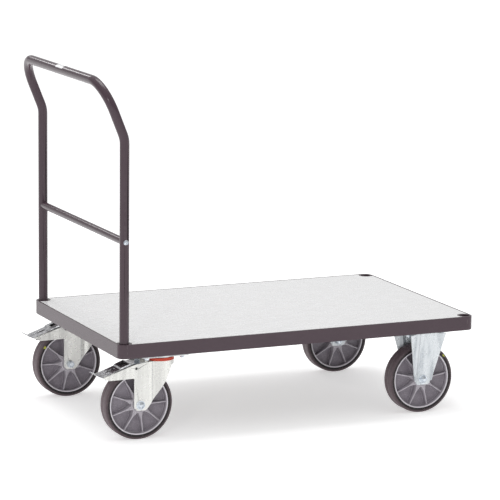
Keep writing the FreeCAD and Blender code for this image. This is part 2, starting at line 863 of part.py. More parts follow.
def king_bolts():
    """The countersunk bolt that each fork turns about, with its nut under the crown."""
    top = value(f"{UNDERSIDE} - 1")
    radius = value("king_radius")
    nut_top = value("crown_top - fork_wall - running_gap")
    nut_height = value("king_nut_height")
    pieces = []
    for side, sign in SIDES:
        low = FreeCAD.Vector(0, 0, nut_top - nut_height)
        neck = FreeCAD.Vector(0, 0, top - value("king_head_height"))
        shank = Part.makeCylinder(radius, neck.z - low.z, low)
        head = Part.makeCone(radius, value("king_head"), value("king_head_height"), neck)
        nut = hex_prism(value("king_nut"), nut_height, low.z)
        bolt = shank.fuse([head, nut])
        pieces.append(moved(bolt, value(SWIVEL_X), sign * value(SWIVEL_Y), 0))
    keep(stock("king_bolts", Part.makeCompound(pieces)), "king_bolts")


def swivel_fork(label):
    """Pressed fork: two cheeks and a crown. Each cheek is a leg down to the axle and a wing that
    shields the pedal. In front the cheeks bulge out into a round skirt under the crown."""
    body = new_body(label)
    inner_radius = "(crown_radius - fork_wall)"
    inner_half = "(fork_half_width - fork_wall)"
    meet = "-sqrt(crown_radius ^ 2 - fork_half_width ^ 2)"
    inner_meet = f"-sqrt({inner_radius} ^ 2 - {inner_half} ^ 2)"
    wing_end = "-trail - wing_reach"
    plan = new_sketch(body, "XY_Plane", "fork_bottom")
    add_outline(
        plan,
        [
            (wing_end, "-fork_half_width"),
            (meet, "-fork_half_width"),
            (meet, "fork_half_width"),
            (wing_end, "fork_half_width"),
            (wing_end, inner_half),
            (inner_meet, inner_half),
            (inner_meet, f"-{inner_half}"),
            (wing_end, f"-{inner_half}"),
        ],
        {1: ("crown_radius", 0, "crown_radius"), 5: (inner_radius, 0, inner_radius)},
    )
    blank = add_pad(body, plan, "crown_top - fork_bottom")
    for across, at, radius in (
        ("fork_half_width", meet, "fork_bend"),
        (inner_half, inner_meet, "fork_bend + fork_wall"),
    ):
        spot = (value(at), value(across))
        blank = add_fillet(body, blank, radius, lambda edge: is_upright_at(edge, *spot))
    side = new_sketch(body, "XZ_Plane")
    add_outline(side, [("-300", "0"), ("300", "0"), ("300", "400"), ("-300", "400")])
    add_outline(
        side,
        [
            ("-trail - 18.8", "pin_height - 28"),
            ("-trail - 92", "pin_height - 29"),
            (wing_end, "pin_height - 20"),
            ("-trail - 38", "pin_height + 5"),
            ("-trail - 18", "pin_height + 11"),
            ("-trail + 5", "crown_top - 2"),
            ("-trail + 27", "crown_top"),
            ("crown_radius + 5", "crown_top + 5"),
            ("crown_radius + 5", "crown_top - crown_skirt"),
            ("24", "crown_top - crown_skirt - 2"),
            ("5", "fork_bottom + 81.5"),
            ("-trail + 24", "fork_bottom + 8"),
            ("-trail + 16", "fork_bottom"),
            ("-trail - 10", "fork_bottom"),
            ("-trail - 18.8", "fork_bottom + 9"),
        ],
    )
    add_pocket(body, side, "4 * fork_half_width")
    crown = new_sketch(body, "XY_Plane", "crown_top - fork_wall")
    add_circle(crown, 0, 0, "crown_radius")
    add_pad(body, crown, "fork_wall")
    king = new_sketch(body, "XY_Plane", "crown_top")
    add_circle(king, 0, 0, "king_hole")
    add_pocket(body, king, "8 * fork_wall")
    holes = new_sketch(body, "XZ_Plane")
    add_circle(holes, "-trail", "wheel_radius", "axle_radius")
    add_circle(holes, "-pin_behind", "pin_height", "pin_radius")
    add_pocket(body, holes, "4 * fork_half_width")
    return body


def dust_seal(label):
    """The red ring that covers the balls: a skirt with a rolled top."""
    return turned_body(
        label,
        [
            ("seal_inner", "crown_top"),
            ("seal_radius", "crown_top"),
            ("seal_radius", "crown_top + 2"),
            ("seal_radius - 1.2", "crown_top + 3"),
            ("seal_radius - 1.2", "seal_top - 3"),
            ("seal_radius", "seal_top - 2"),
            ("seal_radius - 0.8", "seal_top"),
            ("seal_inner", "seal_top"),
        ],
    )


def swivel_balls(label):
    """The ring of balls between crown and top plate."""
    balls = []
    for i in range(int(value("ball_count"))):
        angle = 2 * math.pi * i / value("ball_count")
        ball = primitive("Sphere", "ball", Radius="ball_radius")
        reach = value("ball_circle")
        place(ball, reach * math.cos(angle), reach * math.sin(angle), value("crown_top + ball_radius"))
        balls.append(ball)
    return keep(boolean("Compound", label, balls), label)


def along_pedal(distance, lift):
    """A point of the pedal's side view, by its distance up the slope from the toe edge."""
    toe = ("(-trail - 112)", "(pin_height - 19)")
    slope = f"{PEDAL_SLOPE} deg"
    across = f"{toe[0]} + ({distance}) * cos({slope}) - ({lift}) * sin({slope})"
    height = f"{toe[1]} + ({distance}) * sin({slope}) + ({lift}) * cos({slope})"
    return across, height


def brake_pedal(label):
    """Pressed pedal: a stepped ramp with two slots and a toe lip, its sides folded down to its pin."""
    body = new_body(label)
    ramp = new_sketch(body, "XZ_Plane")
    add_outline(
        ramp,
        [
            ("-trail - 129", "pin_height - 10.5"),
            ("-trail - 130", "pin_height - 12.5"),
            along_pedal(0, "-pedal_sheet"),
            along_pedal(56, "-pedal_sheet"),
            along_pedal(60, "step_height - pedal_sheet"),
            along_pedal(90, "step_height - pedal_sheet"),
            ("-trail - 20", "pin_height + 9.5"),
            ("-trail + 9", "pin_height + 9.5"),
            ("-trail + 9", "pin_height + 12"),
            ("-trail - 21", "pin_height + 12"),
            along_pedal(88, "step_height"),
            along_pedal(60, "step_height"),
            along_pedal(56, 0),
            along_pedal(0, 0),
        ],
    )
    add_pad(body, ramp, "2 * pedal_half_width", symmetric=True)
    cheeks = new_sketch(body, "XZ_Plane")
    add_outline(
        cheeks,
        [
            along_pedal(1, -1),
            along_pedal(6, -12),
            along_pedal(54, -14),
            ("-pin_behind - 6", "pin_height - 6"),
            ("-pin_behind + 6", "pin_height - 6"),
            ("-pin_behind + 9", "pin_height + 11"),
            ("-trail - 21", "pin_height + 11"),
            along_pedal(86, 2),
            along_pedal(60, 2),
            along_pedal(56, -1),
        ],
    )
    add_pad(body, cheeks, "2 * pedal_half_width", symmetric=True)
    hollow = new_sketch(body, "XZ_Plane")
    add_outline(
        hollow,
        [
            along_pedal("-3", -30),
            along_pedal("-0.5", "-pedal_sheet"),
            along_pedal(56, "-pedal_sheet"),
            along_pedal(60, "step_height - pedal_sheet"),
            along_pedal(90, "step_height - pedal_sheet"),
            ("-trail - 20", "pin_height + 9.5"),
            ("-trail + 20", "pin_height + 9.5"),
            ("-trail + 20", "pin_height - 40"),
        ],
    )
    add_pocket(body, hollow, "2 * (pedal_half_width - pedal_sheet)")
    slots = new_sketch(body, "XY_Plane", "pin_height")
    for low, high, half in (("-trail - 102", "-trail - 66", 5), ("-trail - 50", "-trail - 32", 12)):
        add_outline(slots, [(low, -half), (high, -half), (high, half), (low, half)])
    add_circle(slots, "-trail + adjuster_ahead", 0, "adjuster_shank")
    add_pocket(body, slots, "100")
    pin = new_sketch(body, "XZ_Plane")
    add_circle(pin, "-pin_behind", "pin_height", "pin_hole")
    add_pocket(body, pin, "4 * pedal_half_width")
    return body


def brake_shoe(label):
    """Rubber-faced block under the pedal, hollowed to the tyre's curve."""
    body = new_body(label)
    sketch = new_sketch(body, "XZ_Plane")
    add_outline(
        sketch,
        [
            ("-trail - 38", "pin_height - 12"),
            ("-trail - 18", "pin_height - 12"),
            ("-trail - 18", "pin_height + 9.5"),
            ("-trail - 20", "pin_height + 9.5"),
            along_pedal(90, "step_height - pedal_sheet"),
            along_pedal(78.5, "step_height - pedal_sheet"),
        ],
    )
    add_pad(body, sketch, "2 * shoe_half_width", symmetric=True)
    curve = new_sketch(body, "XZ_Plane")
    add_circle(curve, "-trail", "wheel_radius", "wheel_radius + shoe_gap")
    add_pocket(body, curve, "4 * shoe_half_width")
    return body


def brake_adjuster(label):
    """The adjusting screw of the brake, with its hexagon head on top of the pedal."""
    body = new_body(label)
    head = new_sketch(body, "XY_Plane", "pin_height + 12")
    add_hexagon(head, "-trail + adjuster_ahead", 0, "adjuster_radius")
    add_pad(body, head, "adjuster_height")
    shank = new_sketch(body, "XY_Plane", "pin_height + 12")
    add_circle(shank, "-trail + adjuster_ahead", 0, "adjuster_shank")
    add_pad(body, shank, "adjuster_reach - adjuster_height").Reversed = True
    return body


def swivel_casters():
    """Both swivel casters, each built about its own swivel axis and then put under the frame."""
    for side, sign in SIDES:
        x = value(SWIVEL_X)
        y = sign * value(SWIVEL_Y)
        trail = value("trail")
        turn = 0 if sign < 0 else 180
        place(swivel_top_plate(f"swivel_top_plate_{side}"), x, y)
        place(swivel_fork(f"swivel_fork_{side}"), x, y)
        place(dust_seal(f"dust_seal_{side}"), x, y)
        place(swivel_balls(f"swivel_balls_{side}"), x, y)
        wheel(f"rear_{side}", x - trail, y)
        bolt, nut, spacers = axle_shapes(value("fork_half_width"))
        spot = (x - trail, y, value("wheel_radius"), turn)
        keep(stock(f"axle_rear_{side}", moved(bolt, *spot)), f"axle_rear_{side}")
        keep(stock(f"axle_nut_rear_{side}", moved(nut, *spot)), f"axle_nut_rear_{side}")
        rings = Part.makeCompound([moved(ring, *spot) for ring in spacers])
        keep(stock(f"spacers_rear_{side}", rings), f"spacers_rear_{side}")
        pedal = brake_pedal(f"brake_pedal_{side}")
        place(pedal, x, y)
        place(brake_shoe(f"brake_shoe_{side}"), x, y)
        place(brake_adjuster(f"brake_adjuster_{side}"), x, y)
        pin_length = 2 * value("fork_half_width") - 1
        pin = Part.makeCylinder(
            value("pin_radius"),
            pin_length,
            FreeCAD.Vector(x - value("pin_behind"), y - pin_length / 2, value("pin_height")),
            FreeCAD.Vector(0, 1, 0),
        )
        keep(stock(f"pedal_pin_{side}", pin), f"pedal_pin_{side}")


# ---------------------------------------------------------------- fixed caster


def bracket_section(sign, half, lean, flare, flare_out):
    """One level section of a bracket's leg: a flat middle with a flare at each end."""
    face = f"bracket_half_width + {lean}"
    across = [f"{sign}({face} + {flare_out})", f"{sign}({face})"]
    behind = [f"{sign}({face} + {flare_out} - bracket_wall)", f"{sign}({face} - bracket_wall)"]
    tip = f"({half} + {flare})"
    return [
        (f"-{tip}", across[0]),
        (f"-{half}", across[1]),
        (half, across[1]),
        (tip, across[0]),
        (tip, behind[0]),
        (half, behind[1]),
        (f"-{half}", behind[1]),
        (f"-{tip}", behind[0]),
    ]


def fixed_bracket(label):
    """Pressed bracket: a plate folded down into two legs, built about the axle's own X and Y. A leg
    is upright at the axle, leans in from the plate above that, and has a flare along each edge."""
    body = new_body(label)
    under = f"({UNDERSIDE} - bracket_wall)"
    fold = "(bracket_half_width + bracket_lean)"
    sketch = new_sketch(body, "XY_Plane", under)
    add_rectangle(sketch, "plate_length / 2", fold)
    add_pad(body, sketch, "bracket_wall")
    low = ("bracket_low_half", 0, "bracket_low_flare", "bracket_low_flare_out")
    bend = ("bracket_bend_half", 0, "bracket_bend_flare", "bracket_bend_flare_out")
    top = ("bracket_top_half", "bracket_lean", "bracket_flare", "bracket_flare_out")
    for sign in ("-", ""):
        rings = []
        for lift, section in (("bracket_tab", low), ("bracket_bend", bend), (under, top)):
            ring = new_sketch(body, "XY_Plane", lift)
            add_outline(ring, bracket_section(sign, *section))
            rings.append(ring)
        leg = body.newObject("PartDesign::AdditiveLoft", body.Name + "_leg")
        leg.Profile = rings[0]
        leg.Sections = rings[1:]
        leg.Ruled = True
        offset = "" if sign == "-" else "-"
        tab = new_sketch(body, "XZ_Plane", f"{offset}(bracket_half_width - bracket_wall / 2)")
        add_outline(
            tab,
            [
                ("-bracket_low_half - 2", "bracket_tab + 1"),
                ("bracket_low_half + 2", "bracket_tab + 1"),
                ("bracket_low_half - 1", "bracket_bottom + 4"),
                ("bracket_low_half - 6", "bracket_bottom"),
                ("6 - bracket_low_half", "bracket_bottom"),
                ("1 - bracket_low_half", "bracket_bottom + 4"),
            ],
        )
        add_pad(body, tab, "bracket_wall", symmetric=True)
    add_fillet(body, body.Tip, "bracket_fold", lambda edge: is_fold(edge, value(fold)))
    holes = new_sketch(body, "XY_Plane", under)
    add_bolt_holes(holes)
    add_pocket(body, holes, "4 * bracket_wall")
    axle = new_sketch(body, "XZ_Plane")
    add_circle(axle, 0, "wheel_radius", "axle_radius")
    add_pocket(body, axle, "4 * bracket_half_width")
    return body


def is_fold(edge, y):
    """True for the long top edges of the bracket's plate, where it folds down into the legs."""
    if not edge_along(edge, 0):
        return False
    spot = middle(edge)
    return abs(abs(spot.y) - y) < 0.01 and abs(spot.z - value(UNDERSIDE)) < 0.01


def fixed_casters():
    """Both fixed casters."""
    bolts = []
    nuts = []
    rings = []
    x = value(FIXED_X)
    for side, sign in SIDES:
        y = sign * value(FIXED_Y)
        place(fixed_bracket(f"fixed_bracket_{side}"), x, y)
        wheel(f"front_{side}", x, y)
        bolt, nut, spacers = axle_shapes(value("bracket_half_width"))
        spot = (x, y, value("wheel_radius"), 0 if sign < 0 else 180)
        bolts.append(moved(bolt, *spot))
        nuts.append(moved(nut, *spot))
        rings += [moved(ring, *spot) for ring in spacers]
    keep(stock("axles_front", Part.makeCompound(bolts)), "axles_front")
    keep(stock("axle_nuts_front", Part.makeCompound(nuts)), "axle_nuts_front")
    keep(stock("spacers_front", Part.makeCompound(rings)), "spacers_front")


def caster_fasteners():
    """Bolts down through the frame and each caster's plate, with their nuts below."""
    radius = value("bolt_radius")
    seat = value(f"{UNDERSIDE} + rail_wall")
    head_height = value("bolt_head_height")
    nut_height = value("nut_height")
    bolts = []
    nuts = []
    for centre, across, thickness in (
        (SWIVEL_X, SWIVEL_Y, "plate_thickness"),
        (FIXED_X, FIXED_Y, "bracket_wall"),
    ):
        nut_top = value(f"{UNDERSIDE} - {thickness}")
        low = nut_top - value("bolt_reach")
        head = hex_prism(value("bolt_head"), head_height, seat)
        bolt = Part.makeCylinder(radius, seat - low, FreeCAD.Vector(0, 0, low)).fuse(head)
        nut = hex_prism(value("bolt_head"), nut_height, nut_top - nut_height, radius)
        for side, sign in SIDES:
            for step_x in (-0.5, 0.5):
                for step_y in (-0.5, 0.5):
                    x = value(centre) + step_x * value("bolt_spacing_long")
                    y = sign * value(across) + step_y * value("bolt_spacing_wide")
                    bolts.append(moved(bolt, x, y, 0))
                    nuts.append(moved(nut, x, y, 0))
    keep(stock("caster_bolts", Part.makeCompound(bolts)), "caster_bolts")
    keep(stock("caster_nuts", Part.makeCompound(nuts)), "caster_nuts")


def export_nodes():
    """Check every object, then write one STEP file for each sub-part."""
    doc.recompute()
    bad = [item.Label for item in doc.Objects if {"Invalid", "Error"} & set(item.State)]
    if bad:
        raise SystemExit(f"failed objects: {bad}")
    os.makedirs("parts", exist_ok=True)
    for item in nodes:
        if item.Shape.isNull() or not item.Shape.isValid() or not item.Shape.Solids:
            raise SystemExit(f"{item.Label} has no valid solid")
    for item in nodes:
        item.Shape.exportStep(f"parts/{item.Label}.step")
        print(f"{item.Label:28s} {len(item.Shape.Solids):2d} solids {item.Shape.Volume / 1000:9.1f} cm3")
    print(len(nodes), "nodes")


frame_rails()
corner_sockets()
cross_beams()
deck_board()
deck_screws()
push_handle()
cross_tube()
cross_tube_fixings()
handle_label()
swivel_casters()
king_bolts()
fixed_casters()
caster_fasteners()
export_nodes()
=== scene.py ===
"""Looks of the platform cart: materials, detailed wheels and studio, built around the CAD frame."""
import json
import math

import bpy
from mathutils import Matrix, Vector


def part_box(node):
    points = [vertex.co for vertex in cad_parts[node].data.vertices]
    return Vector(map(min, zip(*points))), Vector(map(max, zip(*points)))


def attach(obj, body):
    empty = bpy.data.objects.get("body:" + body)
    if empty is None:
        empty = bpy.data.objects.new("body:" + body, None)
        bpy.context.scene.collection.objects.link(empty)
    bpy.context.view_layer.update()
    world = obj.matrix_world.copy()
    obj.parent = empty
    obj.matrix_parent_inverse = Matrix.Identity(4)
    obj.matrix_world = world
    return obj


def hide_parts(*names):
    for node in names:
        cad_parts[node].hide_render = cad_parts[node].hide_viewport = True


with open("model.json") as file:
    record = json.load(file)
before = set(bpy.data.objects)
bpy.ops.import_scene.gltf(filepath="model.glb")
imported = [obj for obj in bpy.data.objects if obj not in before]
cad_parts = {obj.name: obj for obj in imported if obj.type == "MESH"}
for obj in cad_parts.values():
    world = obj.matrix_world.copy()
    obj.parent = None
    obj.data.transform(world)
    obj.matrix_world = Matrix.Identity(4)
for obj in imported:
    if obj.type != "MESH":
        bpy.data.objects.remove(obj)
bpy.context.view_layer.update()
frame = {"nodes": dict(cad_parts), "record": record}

SUBPARTS = frame["record"]["subparts"]
SLOTS = {item["node"]: item["material_slot"] for item in SUBPARTS}
BODIES = frame["record"]["behaviour"]["bodies"]
BODY_OF = {node: body for body, held in BODIES.items() for node in held}
WHEELS = ("rear_right", "rear_left", "front_right", "front_left")
MM = 0.001


# ---------------------------------------------------------------- materials

# The colour sockets of a Mix node
MIX_FACTOR, MIX_FIRST, MIX_SECOND, MIX_RESULT = 0, 6, 7, 2
# The range that most of a noise's values lie in
NOISE_LOW, NOISE_HIGH = 0.3, 0.7
# How alike the true and the rounded normals are on an open face
FACE_ALIKE = 0.998
EDGE_SAMPLES = 6


def linear(*channels):
    """A colour given in 0-255 screen values, as the shader's linear one."""

    def curve(level):
        share = level / 255
        return share / 12.92 if level <= 10 else ((share + 0.055) / 1.055) ** 2.4

    return [curve(level) for level in channels]


class Surface:
    """A Principled material, with short calls for the nodes that give it its detail. Sizes are in
    metres and patterns lie in the piece's own space."""

    def __init__(self, name, **uniform):
        self.material = bpy.data.materials.new(name)
        self.material.use_nodes = True
        self.tree = self.material.node_tree
        self.shader = self.tree.nodes["Principled BSDF"]
        self.space = self.node("ShaderNodeTexCoord").outputs["Object"]
        for key, level in uniform.items():
            title = key.replace("_", " ").title().replace("Ior", "IOR")
            self.shader.inputs[title].default_value = level

    def node(self, kind, inputs=None, **settings):
        made = self.tree.nodes.new(kind)
        for key, level in settings.items():
            setattr(made, key, level)
        for key, source in (inputs or {}).items():
            if isinstance(source, bpy.types.NodeSocket):
                self.tree.links.new(source, made.inputs[key])
            else:
                made.inputs[key].default_value = source
        return made

    def stretched(self, stretch):
        """The piece's space, squeezed so that a pattern in it is drawn out along some axes."""
        inputs = {"Vector": self.space, "Scale": stretch}
        return self.node("ShaderNodeMapping", inputs).outputs["Vector"]

    def noise(self, size, detail=2.0, stretch=None, distortion=0.0):
        space = self.stretched(stretch) if stretch else self.space
        inputs = {"Vector": space, "Scale": 1 / size, "Detail": detail, "Distortion": distortion}
        return self.node("ShaderNodeTexNoise", inputs).outputs["Fac"]

    def cells(self, size):
        """A random level for each cell of a Voronoi pattern."""
        inputs = {"Vector": self.space, "Scale": 1 / size}
        found = self.node("ShaderNodeTexVoronoi", inputs).outputs["Color"]
        return self.node("ShaderNodeSeparateColor", {"Color": found}).outputs["Red"]

    def spread(self, source, low, high, start, end):
        """`source` between low and high, taken to start and end."""
        names = ("Value", "From Min", "From Max", "To Min", "To Max")
        levels = dict(zip(names, (source, low, high, start, end)))
        return self.node("ShaderNodeMapRange", levels).outputs["Result"]

    def swing(self, source, start, end):
        """A noise's usual range, taken to start and end."""
        return self.spread(source, NOISE_LOW, NOISE_HIGH, start, end)

    def maths(self, operation, *levels):
        inputs = dict(enumerate(levels))
        return self.node("ShaderNodeMath", inputs, operation=operation).outputs[0]

    def plus(self, first, second):
        return self.maths("ADD", first, second)

    def times(self, first, second):
        return self.maths("MULTIPLY", first, second)

    def absolute(self, level):
        return self.maths("ABSOLUTE", level)

    def part(self, axis, vector=None):
        """One part of a vector, which is the place in the piece's space if none is given."""
        inputs = {"Vector": vector or self.space}
        return self.node("ShaderNodeSeparateXYZ", inputs).outputs[axis]

    def blend(self, factor, first, second):
        """From the first colour to the second."""
        first, second = (
            colour if isinstance(colour, bpy.types.NodeSocket) else (*colour, 1)
            for colour in (first, second)
        )
        inputs = {MIX_FACTOR: factor, MIX_FIRST: first, MIX_SECOND: second}
        return self.node("ShaderNodeMix", inputs, data_type="RGBA").outputs[MIX_RESULT]

    def edges(self, radius, threshold=0.92):
        """1 on edges sharper than `radius`, 0 on open faces."""
        rounding = self.node("ShaderNodeBevel", {"Radius": radius}, samples=EDGE_SAMPLES)
        true = self.node("ShaderNodeNewGeometry").outputs["Normal"]
        both = {0: rounding.outputs["Normal"], 1: true}
        alike = self.node("ShaderNodeVectorMath", both, operation="DOT_PRODUCT").outputs["Value"]
        return self.spread(alike, FACE_ALIKE, threshold, 0.0, 1.0)

    def worn(self, radius, patch=12 * MM):
        """The edge mask, broken up into patches."""
        patches = self.spread(self.noise(patch, 4.0), 0.45, 0.62, 0.0, 1.0)
        return self.times(self.edges(radius), patches)

    def relief(self, layers):
        """Bumps laid over each other: (height, depth in metres) pairs."""
        normal = None
        for height, depth in layers:
            inputs = {"Height": height, "Distance": depth, "Strength": 1.0}
            if normal:
                inputs["Normal"] = normal
            normal = self.node("ShaderNodeBump", inputs).outputs["Normal"]
        self.tree.links.new(normal, self.shader.inputs["Normal"])

    def finish(self, colour=None, roughness=None):
        for key, source in (("Base Color", colour), ("Roughness", roughness)):
            if source is not None:
                self.tree.links.new(source, self.shader.inputs[key])
        return self.material


# How far roughness strays from what is asked for, and the pits in moulded plastic
SHINIER = 0.06
DULLER = 0.08
PITTING = 0.9 * MM
PITTING_DEPTH = 0.05 * MM


def powder_coat():
    """Dark warm grey powder coat: orange-peel grain, cloudy gloss, thin wear on the edges."""
    paint = Surface("powder_coat", specular_ior_level=0.36)
    cloud = paint.noise(90 * MM, 3.0)
    colour = paint.blend(cloud, linear(66, 51, 59), linear(74, 59, 67))
    fleck = paint.spread(paint.noise(0.9 * MM, 1.0), 0.6, 0.75, 0.0, 0.3)
    colour = paint.blend(fleck, colour, linear(92, 79, 85))
    colour = paint.blend(paint.times(paint.worn(0.8 * MM), 0.15), colour, linear(140, 132, 134))
    rough = paint.swing(paint.noise(30 * MM, 4.0), 0.13, 0.21)
    paint.relief([(paint.noise(2 * MM, 1.0), 0.01 * MM), (paint.noise(25 * MM), 0.04 * MM)])
    return paint.finish(colour, rough)


PLY = 2.4 * MM


def laminate():
    """Pale grey laminate with a fine print and dull scuffs. Its cut sides show the plies, and its
    underside is painted dark brown with a fibre grain, as painted shade under the deck."""
    board = Surface("laminate")
    print_fleck = board.spread(board.noise(1.4 * MM, 2.0), 0.35, 0.7, 0.0, 1.0)
    face = board.blend(print_fleck, linear(227, 227, 228), linear(232, 232, 232))
    scuff = board.spread(board.noise(60 * MM, 6.0, (1.0, 7.0, 1.0), 0.6), 0.62, 0.72, 0.0, 0.25)
    face = board.blend(scuff, face, linear(205, 204, 204))
    height = board.part("Z")
    ply = board.maths("MODULO", height, PLY)
    seam = board.spread(ply, 1.1 * MM, 1.3 * MM, 0.0, 1.0)
    wood = board.blend(seam, linear(120, 92, 64), linear(168, 136, 98))
    wood = board.blend(board.noise(3 * MM, 4.0, (0.15, 0.15, 1.0)), wood, linear(95, 72, 50))
    # Painted shade: the downward faces get a dark brown with a fibre grain, for the shade under the
    # deck
    normal = board.node("ShaderNodeNewGeometry").outputs["True Normal"]
    upward = board.part("Z", normal)
    fibre = board.noise(5 * MM, 5.0, (1.0, 0.2, 1.0))
    shaded_underside = board.blend(fibre, linear(58, 48, 43), linear(78, 66, 58))
    face = board.blend(board.spread(upward, -0.6, -0.4, 1.0, 0.0), face, shaded_underside)
    side = board.spread(board.absolute(upward), 0.5, 0.7, 1.0, 0.0)
    gloss = board.swing(board.noise(40 * MM, 5.0), 0.22, 0.32)
    rough = board.plus(gloss, board.times(scuff, 0.5))
    grain = [(board.noise(0.8 * MM, 1.0), 0.003 * MM), (board.noise(6 * MM, 1.0), 0.004 * MM)]
    board.relief(grain)
    return board.finish(board.blend(side, face, wood), rough)


ZINC_TONES = (linear(176, 180, 183), linear(220, 222, 222))
# How far the zinc's patterns are drawn out upright: the painted reflection streaks and the
# scratches
ZINC_DRAWN = (1.0, 1.0, 0.04)
CREASE_HALF = 2.5 * MM
CREASE_DEPTH = 0.8 * MM
# Width of the painted shade band before each crease
CREASE_SHADE = 5 * MM


def galvanised(name, dull, bright, creases=()):
    """Galvanised sheet: broad upright streaks painted as reflection bands, a spangle of zinc
    crystals, handling scratches and painted highlights along the sharp edges, with upright press
    creases at some distances along X, each with a band of painted shade beside it."""
    zinc = Surface(name, metallic=0.7)
    spangle = zinc.cells(5 * MM)
    # Broad upright streaks: painted reflection bands, which also give a faint relief below
    cloud = zinc.spread(zinc.noise(20 * MM, 2.0, ZINC_DRAWN), 0.38, 0.58, 0.0, 1.0)
    tone = zinc.plus(zinc.times(spangle, 0.25), zinc.times(cloud, 0.75))
    colour = zinc.blend(tone, dull, bright)
    scratch = zinc.spread(zinc.noise(2.5 * MM, 3.0, ZINC_DRAWN), 0.66, 0.76, 0.0, 0.5)
    colour = zinc.blend(scratch, colour, linear(245, 246, 246))
    # Painted highlight: sharp edges lightened nearly to white
    colour = zinc.blend(zinc.times(zinc.edges(1.0 * MM), 0.5), colour, linear(248, 249, 249))
    along = zinc.part("X")
    pressed = []
    for at in creases:
        off = zinc.absolute(zinc.plus(along, -at))
        pressed.append((zinc.spread(off, 0.0, CREASE_HALF, 1.0, 0.0), CREASE_DEPTH))
        # Painted shade: a darker band deepening over CREASE_SHADE towards each crease from its -X
        # side, ending at the crease
        beside = zinc.spread(zinc.plus(along, -at), -CREASE_SHADE, 0.0, 0.0, 0.4)
        ahead = zinc.spread(zinc.plus(along, -at), 0.0, 1.0 * MM, 1.0, 0.0)
        colour = zinc.blend(zinc.times(beside, ahead), colour, linear(118, 123, 128))
    rough = zinc.plus(zinc.spread(spangle, 0.0, 1.0, 0.26, 0.38), zinc.times(scratch, 0.1))
    fine = zinc.noise(1.2 * MM, 3.0, (1.0, 1.0, 0.1))
    zinc.relief([(cloud, 0.05 * MM), (fine, 0.01 * MM)] + pressed)
    return zinc.finish(colour, rough)


def plated(name, dull, bright, roughness, along):
    """Bright plated steel with fine lines along one direction, tarnish in patches, and painted
    highlights along its sharp edges.
    """
    steel = Surface(name, metallic=1.0)
    lines = steel.noise(1.5 * MM, 4.0, along)
    tarnish = steel.spread(steel.noise(9 * MM, 5.0, None, 0.5), 0.4, 0.65, 0.0, 1.0)
    colour = steel.blend(tarnish, bright, dull)
    # Painted highlight: sharp edges lightened nearly to white
    colour = steel.blend(steel.times(steel.edges(0.8 * MM), 0.6), colour, linear(250, 250, 250))
    gloss = steel.swing(lines, roughness - SHINIER, roughness + DULLER)
    rough = steel.plus(gloss, steel.times(tarnish, 0.08))
    steel.relief([(lines, 0.02 * MM)])
    return steel.finish(colour, rough)


def radial(surface):
    """The distance from the wheel's own axle line."""
    split = surface.node("ShaderNodeSeparateXYZ", {"Vector": surface.space})
    across = {axis: split.outputs[axis] for axis in "XZ"}
    flat = surface.node("ShaderNodeCombineXYZ", across).outputs[0]
    return surface.node("ShaderNodeVectorMath", {0: flat}, operation="LENGTH").outputs["Value"]


# Radians of the turning lines' wave for each metre from the axle
TURNING_RATE = 4000.0


def tyre_rubber():
    """Solid grey rubber: walls painted dark as shade, a shoulder band and the tread painted paler
    as lit, dust specks and fine turning lines.
    """
    rubber = Surface("tyre_rubber", specular_ior_level=0.35)
    away = radial(rubber)
    # Painted light and shade: the walls keep a dark colour, and a paler band over the shoulder and
    # a paler tread stand for light falling on them
    lit_shoulder = rubber.spread(away, 91 * MM, 96 * MM, 0.0, 1.0)
    tread = rubber.spread(away, 97.5 * MM, 99.5 * MM, 0.0, 1.0)
    colour = rubber.blend(rubber.noise(14 * MM, 4.0), linear(30, 25, 28), linear(40, 34, 37))
    colour = rubber.blend(lit_shoulder, colour, linear(82, 70, 74))
    rolled = rubber.noise(9 * MM, 5.0, (1.0, 0.3, 1.0))
    lit_tread_colour = rubber.blend(rolled, linear(88, 75, 80), linear(106, 92, 97))
    colour = rubber.blend(tread, colour, lit_tread_colour)
    dust = rubber.spread(rubber.noise(4 * MM, 6.0), 0.56, 0.75, 0.0, 0.3)
    colour = rubber.blend(dust, colour, linear(140, 128, 126))
    rough = rubber.swing(rubber.noise(7 * MM, 4.0), 0.48, 0.66)
    turning = rubber.maths("SINE", rubber.times(away, TURNING_RATE))
    rubber.relief([(turning, 0.015 * MM), (rubber.noise(0.9 * MM, 2.0), 0.04 * MM)])
    return rubber.finish(colour, rough)


def moulded(name, dark, light, edge, roughness):
    """Moulded plastic: cloudy colour, a fine pitted grain, and edges that wear pale."""
    plastic = Surface(name)
    colour = plastic.blend(plastic.noise(18 * MM, 4.0), dark, light)
    speck = plastic.spread(plastic.noise(2.2 * MM, 4.0), 0.56, 0.72, 0.0, 0.35)
    colour = plastic.blend(speck, colour, edge)
    colour = plastic.blend(plastic.times(plastic.edges(1.6 * MM, 0.85), 0.75), colour, edge)
    cloud = plastic.noise(12 * MM, 4.0)
    rough = plastic.swing(cloud, roughness - SHINIER, roughness + DULLER)
    plastic.relief([(plastic.noise(PITTING, 2.0), PITTING_DEPTH)])
    return plastic.finish(colour, rough)


